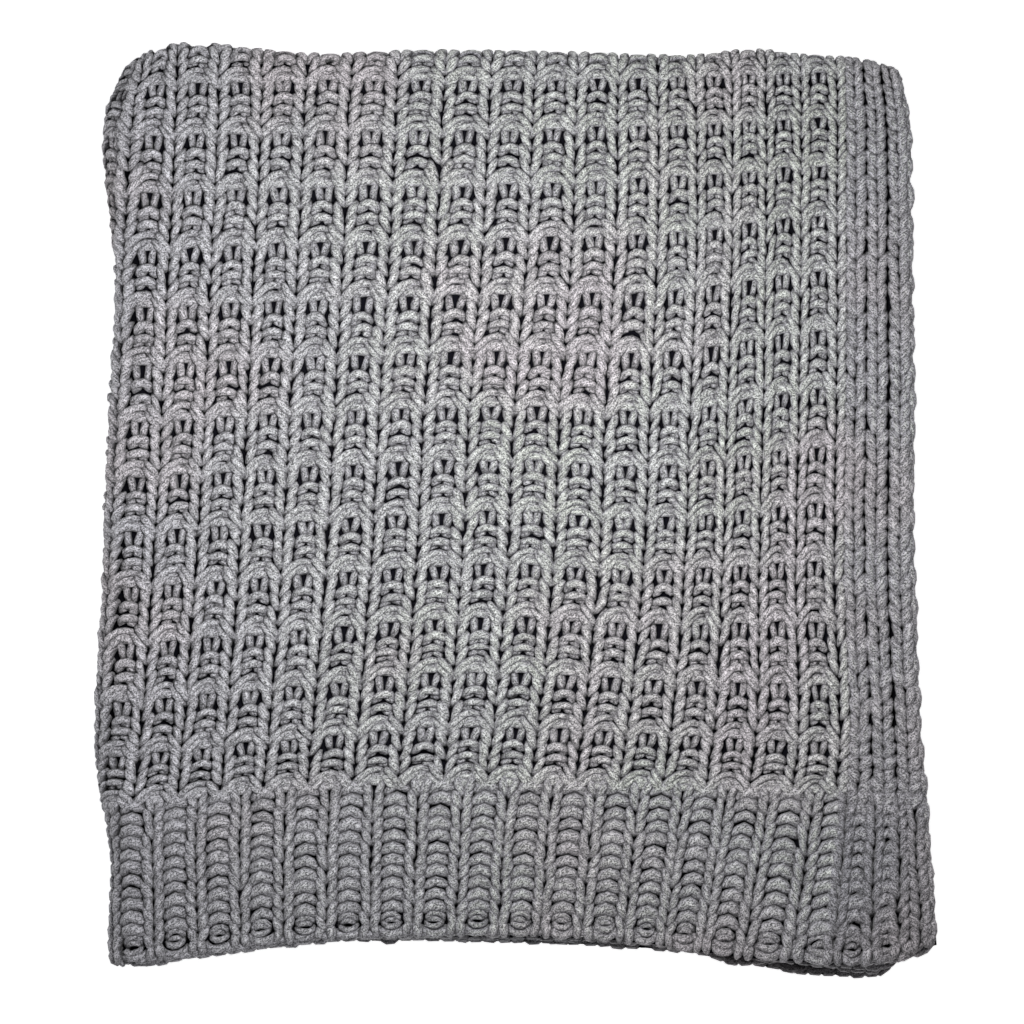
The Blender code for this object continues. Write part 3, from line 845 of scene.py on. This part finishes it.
def yarn():
    """The throw's matt, slightly fuzzy yarn, made once; its colour carries painted shade
    and a painted light tint.
    """
    ready = bpy.data.materials.get("throw_yarn")
    if ready:
        return ready
    props = bpy.context.scene.throw_yarn
    mat = bpy.data.materials.new("throw_yarn")
    mat.use_nodes = True
    nodes, links = mat.node_tree.nodes, mat.node_tree.links
    shader = nodes["Principled BSDF"]
    shader.inputs["Roughness"].default_value = 0.92
    shader.inputs["Specular IOR Level"].default_value = 0.18
    shader.inputs["Sheen Weight"].default_value = 0.18
    shader.inputs["Sheen Roughness"].default_value = 0.6
    group = nodes.new("ShaderNodeGroup")
    group.node_tree = dye_and_shade_group()
    for socket, colour in (("Main", props.grey), ("Warm", props.blush),
                           ("LitTint", props.lit_tint), ("PaintedShade", props.shade)):
        group.inputs[socket].default_value = (*colour, 1.0)
    group.inputs["Fuzz"].default_value = 1.1
    group.inputs["Tone"].default_value = 0.045
    links.new(group.outputs["Color"], shader.inputs["Base Color"])
    bump = nodes.new("ShaderNodeBump")
    bump.inputs["Strength"].default_value = 0.85
    bump.inputs["Distance"].default_value = 0.0016
    links.new(group.outputs["Height"], bump.inputs["Height"])
    links.new(bump.outputs["Normal"], shader.inputs["Normal"])
    return mat


def shade_material(props):
    """Near-black material for the cloth sheet, painted shade for the yarn deep inside the
    knit.
    """
    mat = bpy.data.materials.new("painted_shade_yarn")
    mat.use_nodes = True
    shader = mat.node_tree.nodes["Principled BSDF"]
    shader.inputs["Base Color"].default_value = (*props.shade, 1.0)
    shader.inputs["Roughness"].default_value = 1.0
    shader.inputs["Specular IOR Level"].default_value = 0.05
    return mat


def cells(columns, rows):
    """Every pair of a column and a row."""
    return np.array([(k, i) for k in columns for i in rows], float)


def cloth_lines():
    """Grid lines of the cloth sheet, across and down the opened throw."""
    across = [("column", k) for k in np.linspace(K_EDGE, 1.0, 37)]
    across += [("turn", math.pi * part / 10.0) for part in range(11)]
    across += [("under", part / 18.0) for part in range(1, 19)]
    down = [("row", i) for i in np.linspace(I_HEM, 1.0, 33)]
    down += [("turn", math.pi * part / 8.0) for part in range(9)]
    down += [("back", part / 18.0) for part in range(1, 19)]
    return across, down


def sheet_point(across, down):
    """Developed x and y where two grid lines of the cloth cross."""
    kind, value = across
    i = down[1] if down[0] == "row" else FOLD_ROW
    lower = kind == "under"
    if kind == "column":
        x, y = developed(value, i)
        plan = max(x, left_line(y) + OUT2)
    else:
        y = developed(0.5, i)[1]
        plan = left_line(y) + OUT2
        x = plan - ARC2 * value
        if lower:
            plan = plan + (edge_line("under", y) - plan) * value
            y = knit_table(Y_KNIT, top_k(plan, i), i)
            y = y - peep(plan, "under") * ease((i - I_BAND) / (I_HEM - I_BAND))
            x = under_x(plan, y)
    if down[0] == "row":
        return x, y
    start = top_line(plan) - OUT1
    if down[0] == "turn":
        return x, start + ARC1 * down[1]
    hem = hem_line("inner" if lower else "back", plan)
    y_plan = start + (hem - start) * down[1]
    if lower:
        left = left_line(y_plan) + OUT2
        x = under_x(left + (edge_line("back", y_plan) - left) * value, y_plan)
    elif kind == "column":
        edge = developed(K_EDGE, FOLD_ROW)[0]
        reach = ease((value - SIDE_REACH_K) / (K_EDGE - SIDE_REACH_K))
        x = x + (edge_line("back", y_plan) - edge) * reach * ease(down[1] * 4.0)
    return x, back_y(y_plan, plan)


class THROW_OT_cloth(bpy.types.Operator):
    """Lay the thin cloth that carries the stitches, folded in half twice"""

    bl_idname = "throw.cloth"
    bl_label = "Folded cloth"

    def execute(self, context):
        props = context.scene.throw_yarn
        across, down = cloth_lines()
        deselect_all()
        bpy.ops.mesh.primitive_grid_add(x_subdivisions=len(across) - 1,
                                        y_subdivisions=len(down) - 1, size=2.0)
        obj = context.active_object
        obj.name = obj.data.name = "folded_cloth"
        mesh = obj.data
        co = np.zeros(len(mesh.vertices) * 3)
        mesh.vertices.foreach_get("co", co)
        co = co.reshape(-1, 3)
        c = np.rint((co[:, 0] + 1.0) / 2.0 * (len(across) - 1)).astype(int)
        r = np.rint((co[:, 1] + 1.0) / 2.0 * (len(down) - 1)).astype(int)
        flat = np.array([[sheet_point(a, b) for b in down] for a in across], float)
        laid = flat[c, r]
        folded = np.stack(place(laid[:, 0], laid[:, 1], CLOTH_MIDDLE), 1)
        mesh.vertices.foreach_set("co", folded.ravel())
        mesh.update()
        solid = obj.modifiers.new("thickness", "SOLIDIFY")
        solid.thickness = props.sheet
        solid.offset = 0.0
        solid.use_even_offset = False
        bpy.ops.object.modifier_apply(modifier=solid.name)
        bpy.ops.object.shade_smooth()
        mesh.materials.clear()
        # painted shade: the sheet under the stitches is near black, standing in for the
        # shade between them
        mesh.materials.append(shade_material(props))
        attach(obj, "root")
        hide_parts("knit_throw")
        return {"FINISHED"}


class THROW_OT_ridges(bpy.types.Operator):
    """Knit the raised ridges of the waffle, from fold to border"""

    bl_idname = "throw.ridges"
    bl_label = "Waffle ridges"

    def execute(self, context):
        leg = rolled_strand("ridge_leg", 5)
        for part, columns in enumerate((RIDGES[:SPLIT], RIDGES[SPLIT:])):
            piece = Piece(f"ridges_{part}", 11 + part)
            centres = cells(columns, ROWS)
            for tip, lift in LEG_TIPS:
                for mirror in (False, True):
                    piece.copy(leg, centres, knit_fold, mirror, down=tip, lift=lift)
            piece.finish()
        return {"FINISHED"}


class THROW_OT_tucks(bpy.types.Operator):
    """Knit the doubled strands that dip over the ridges and arch between them"""

    bl_idname = "throw.tucks"
    bl_label = "Waffle tucks"

    def execute(self, context):
        piece = Piece("tucks", 21)
        for name in ("tuck_left", "tuck_left_low"):
            piece.copy(rolled_strand(name, 5), cells(RIDGES, ROWS), knit_fold)
        for name in ("tuck_right", "tuck_right_low"):
            piece.copy(rolled_strand(name, 7), cells(RIDGES[:-1], ROWS), knit_fold)
        # the last ridge, at the border, has no pocket to its right
        for name in ("tuck_left", "tuck_left_low"):
            piece.copy(rolled_strand(name, 5), cells(RIDGES[-1:], ROWS), knit_fold,
                       mirror=True, wide=0.8)
        piece.finish()
        return {"FINISHED"}


class THROW_OT_pockets(bpy.types.Operator):
    """Knit the bars and the sunken strands between the ridges"""

    bl_idname = "throw.pockets"
    bl_label = "Waffle pockets"

    def execute(self, context):
        plain = [rolled_strand("arc_high", 7), rolled_strand("arc_middle", 7),
                 rolled_strand("lump", 4)]
        paired = [rolled_strand("upright", 3), rolled_strand("arc_high_foot", 3),
                  rolled_strand("arc_middle_foot", 3)]
        for part, columns in enumerate((POCKETS[:SPLIT + 1], POCKETS[SPLIT + 1:])):
            piece = Piece(f"pockets_{part}", 31 + part)
            centres = cells(columns, ROWS)
            for strand in plain:
                piece.copy(strand, centres, knit_fold)
            for strand in paired:
                for mirror in (False, True):
                    piece.copy(strand, centres, knit_fold, mirror)
            piece.finish()
        return {"FINISHED"}


class THROW_OT_band(bpy.types.Operator):
    """Knit the ribbed band and its cast-on edge along the hem"""

    bl_idname = "throw.band"
    bl_label = "Ribbed band"

    def execute(self, context):
        leg = rolled_strand("rib_leg", 5)
        arc = rolled_strand("rib_arc", 6)
        eye = [rolled_strand(f"eye_{part}", 5) for part in ("top", "middle", "bottom")]
        cup = rolled_strand("hem_cup", 7)
        foot = rolled_strand("hem_foot", 4)
        bar = rolled_strand("rib_bar", 4)
        hem = [I_HEM]
        outwards = (1, FRONT_LIGHT)
        piece = Piece("ribbed_band", 41)
        for mirror in (False, True):
            piece.copy(leg, cells(POCKETS, BAND_ROWS), knit_fold, mirror,
                       light=BAND_LIGHT["leg"])
            piece.copy(foot, cells(POCKETS, hem), knit_fold, mirror,
                       light=BAND_LIGHT["foot"], front=outwards)
        piece.copy(arc, cells(RIDGES, BAND_ROWS[:-1]), knit_fold,
                   light=BAND_LIGHT["arc"], wander=0.35)
        piece.copy(bar, cells(RIDGES, [HEADS_ROW]), knit_fold)
        piece.copy(bar, cells(POCKETS, [HEADS_ROW]), knit_fold, wide=0.6)
        for strand in (*eye, cup):
            piece.copy(strand, cells(RIDGES, hem), knit_fold, light=BAND_LIGHT["eye"],
                       front=outwards if strand is cup else None)
        # the border's own ribs, which spread towards the corner
        for k, wide in BAND_BORDER_KNIT:
            for mirror in (False, True):
                piece.copy(leg, cells([k], BAND_ROWS), knit_fold, mirror, wide=wide,
                           light=BAND_BORDER_LIGHT["leg"])
                piece.copy(foot, cells([k], hem), knit_fold, mirror, wide=wide,
                           light=BAND_BORDER_LIGHT["foot"])
        for k, wide in BAND_BORDER_PURL:
            piece.copy(arc, cells([k], BAND_ROWS[:-1]), knit_fold, wide=wide,
                       light=BAND_BORDER_LIGHT["arc"])
            for strand in (*eye, cup):
                piece.copy(strand, cells([k], hem), knit_fold, wide=wide,
                           light=BAND_BORDER_LIGHT["eye"])
        piece.finish()
        return {"FINISHED"}


class THROW_OT_border(bpy.types.Operator):
    """Knit the plain columns of the side border"""

    bl_idname = "throw.border"
    bl_label = "Side border"

    def execute(self, context):
        leg = rolled_strand("border_leg", 4)
        rows = np.arange(FIRST_ROW, I_BAND + 0.2, 0.25)
        piece = Piece("side_border", 51)
        for k in BORDER_COLUMNS:
            for mirror in (False, True):
                # every second stitch closes the groove beside its column
                for first, wide in ((0, 1.12), (1, 1.27)):
                    piece.copy(leg, cells([k], rows[first::2]), knit_fold, mirror,
                               wide=wide, light=BORDER_LIGHT)
        piece.finish()
        return {"FINISHED"}


class THROW_OT_edges(bpy.types.Operator):
    """Finish the hems and side edges of all four layers"""

    bl_idname = "throw.edges"
    bl_label = "Hems and side edges"

    def execute(self, context):
        bump = rolled_strand("edge_bump", 5)
        loop = rolled_strand("side_loop", 5)
        piece = Piece("hems_and_edges", 61)
        low = np.array(-0.35)
        for layer in ("top", "back", "inner", "under"):
            top = layer == "top"
            inset = 0.012 if layer in ("top", "under") else 0.022
            first = float(left_line(low)) + inset
            last = float(edge_line(layer, low)) - 0.011
            # painted shade on the hems and side edges, and a painted shadow on the lower
            # layers
            light = TOP_LIGHT if top else LOWER_LIGHT
            front = FRONT_LIGHT * (1.0 if top else LOWER_FRONT)
            across = np.linspace(first, last, int((last - first) / BUMP_PITCH) + 1)
            for face, lift, up, shift in BUMP_ROWS + (() if top else LOWER_BUMP_ROWS):
                centres = across[:-1] + shift if shift else across
                piece.copy(bump, cells(centres, [up]), hem_fold(layer, face),
                           wide=1.25, lift=lift, light=light, front=(1, front))
            heights = np.arange(-0.336, 0.362 if top else 0.33, LOOP_PITCH)
            for face, lift, inside, shift in LOOP_ROWS:
                piece.copy(loop, cells([inside], heights + shift),
                           side_fold(layer, face), lift=lift, light=light,
                           front=(0, front))
        piece.finish()
        return {"FINISHED"}


class THROW_OT_underside(bpy.types.Operator):
    """Knit the side the throw lies on, pressed flat by its own weight"""

    bl_idname = "throw.underside"
    bl_label = "Underside"

    def execute(self, context):
        leg = rolled_strand("border_leg", 3, 6)
        arc = rolled_strand("rib_arc", 4, 6)
        piece = Piece("underside", 71)
        columns = range(FIRST_K - 1, int(UNDER_EDGE_K) - 1, -1)
        rows = np.arange(FIRST_ROW + 0.05, I_HEM - 0.1, 0.25)
        for mirror in (False, True):
            piece.copy(leg, cells(columns, rows), knit_fold, mirror, wide=1.25)
        # between the ribs, each waffle row leaves a gap
        between = [k + 0.5 for k in columns]
        keep = [i for i in rows if abs(i - round(i)) > 0.1 or i > I_BAND or i < 0.5]
        piece.copy(arc, cells(between, keep), knit_fold)
        piece.finish()
        return {"FINISHED"}


class THROW_OT_studio(bpy.types.Operator):
    """Set the pale floor, the soft light and the camera straight above"""

    bl_idname = "throw.studio"
    bl_label = "Floor, light and camera"

    def execute(self, context):
        scene = context.scene
        props = scene.throw_studio
        deselect_all()
        bpy.ops.mesh.primitive_plane_add(size=60.0, location=(0.0, 0.0, -0.0005))
        floor = context.active_object
        floor.name = "floor"
        paper = bpy.data.materials.new("white_paper")
        paper.use_nodes = True
        shader = paper.node_tree.nodes["Principled BSDF"]
        shader.inputs["Base Color"].default_value = (0.92, 0.92, 0.92, 1.0)
        shader.inputs["Roughness"].default_value = 0.9
        shader.inputs["Emission Color"].default_value = (1.0, 1.0, 1.0, 1.0)
        shader.inputs["Emission Strength"].default_value = props.glow
        floor.data.materials.append(paper)
        bpy.ops.object.light_add(type="AREA", location=KEY_AT)
        key = context.active_object
        key.name = "soft_box"
        key.data.shape = "RECTANGLE"
        key.data.size, key.data.size_y = KEY_SIZE
        key.data.energy = props.key_power
        key.visible_camera = False
        world = bpy.data.worlds.new("room")
        scene.world = world
        world.use_nodes = True
        back = world.node_tree.nodes["Background"]
        back.inputs["Color"].default_value = (1.0, 1.0, 1.0, 1.0)
        back.inputs["Strength"].default_value = props.sky
        bpy.ops.object.camera_add(location=(*CAMERA_AT, props.height),
                                  rotation=(0.0, 0.0, 0.0))
        camera = context.active_object
        camera.name = "camera"
        camera.data.lens = props.lens
        camera.data.sensor_width = 36.0
        scene.camera = camera
        scene.view_settings.view_transform = "Standard"
        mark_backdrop(floor, key, camera)
        return {"FINISHED"}


class THROW_PT_panel(bpy.types.Panel):
    """Buttons that build the throw"""

    bl_label = "Knit throw"
    bl_idname = "THROW_PT_panel"
    bl_space_type = "VIEW_3D"
    bl_region_type = "UI"
    bl_category = "Throw"

    def draw(self, context):
        layout = self.layout
        yarn_props = context.scene.throw_yarn
        studio = context.scene.throw_studio
        for name in ("grey", "blush", "lit_tint", "shade", "sheet"):
            layout.prop(yarn_props, name)
        for operator in PIECES:
            layout.operator(operator.bl_idname)
        for name in ("height", "lens", "key_power", "sky", "glow"):
            layout.prop(studio, name)
        layout.operator(THROW_OT_studio.bl_idname)


PIECES = (THROW_OT_cloth, THROW_OT_ridges, THROW_OT_tucks, THROW_OT_pockets,
          THROW_OT_band, THROW_OT_border, THROW_OT_edges, THROW_OT_underside)
CLASSES = (ThrowYarn, ThrowStudio, *PIECES, THROW_OT_studio, THROW_PT_panel)


def register():
    for item in CLASSES:
        bpy.utils.register_class(item)
    bpy.types.Scene.throw_yarn = bpy.props.PointerProperty(type=ThrowYarn)
    bpy.types.Scene.throw_studio = bpy.props.PointerProperty(type=ThrowStudio)


def unregister():
    del bpy.types.Scene.throw_studio
    del bpy.types.Scene.throw_yarn
    for item in reversed(CLASSES):
        bpy.utils.unregister_class(item)


def main():
    register()
    bpy.ops.throw.cloth()
    bpy.ops.throw.ridges()
    bpy.ops.throw.tucks()
    bpy.ops.throw.pockets()
    bpy.ops.throw.band()
    bpy.ops.throw.border()
    bpy.ops.throw.edges()
    bpy.ops.throw.underside()
    bpy.ops.throw.studio()
    sizes = {"start": BOUNDS_AT_START, "end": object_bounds()}
    plain = json.loads(json.dumps(sizes, default=lambda v: [float(c) for c in v]))


if __name__ == "__main__":
    main()
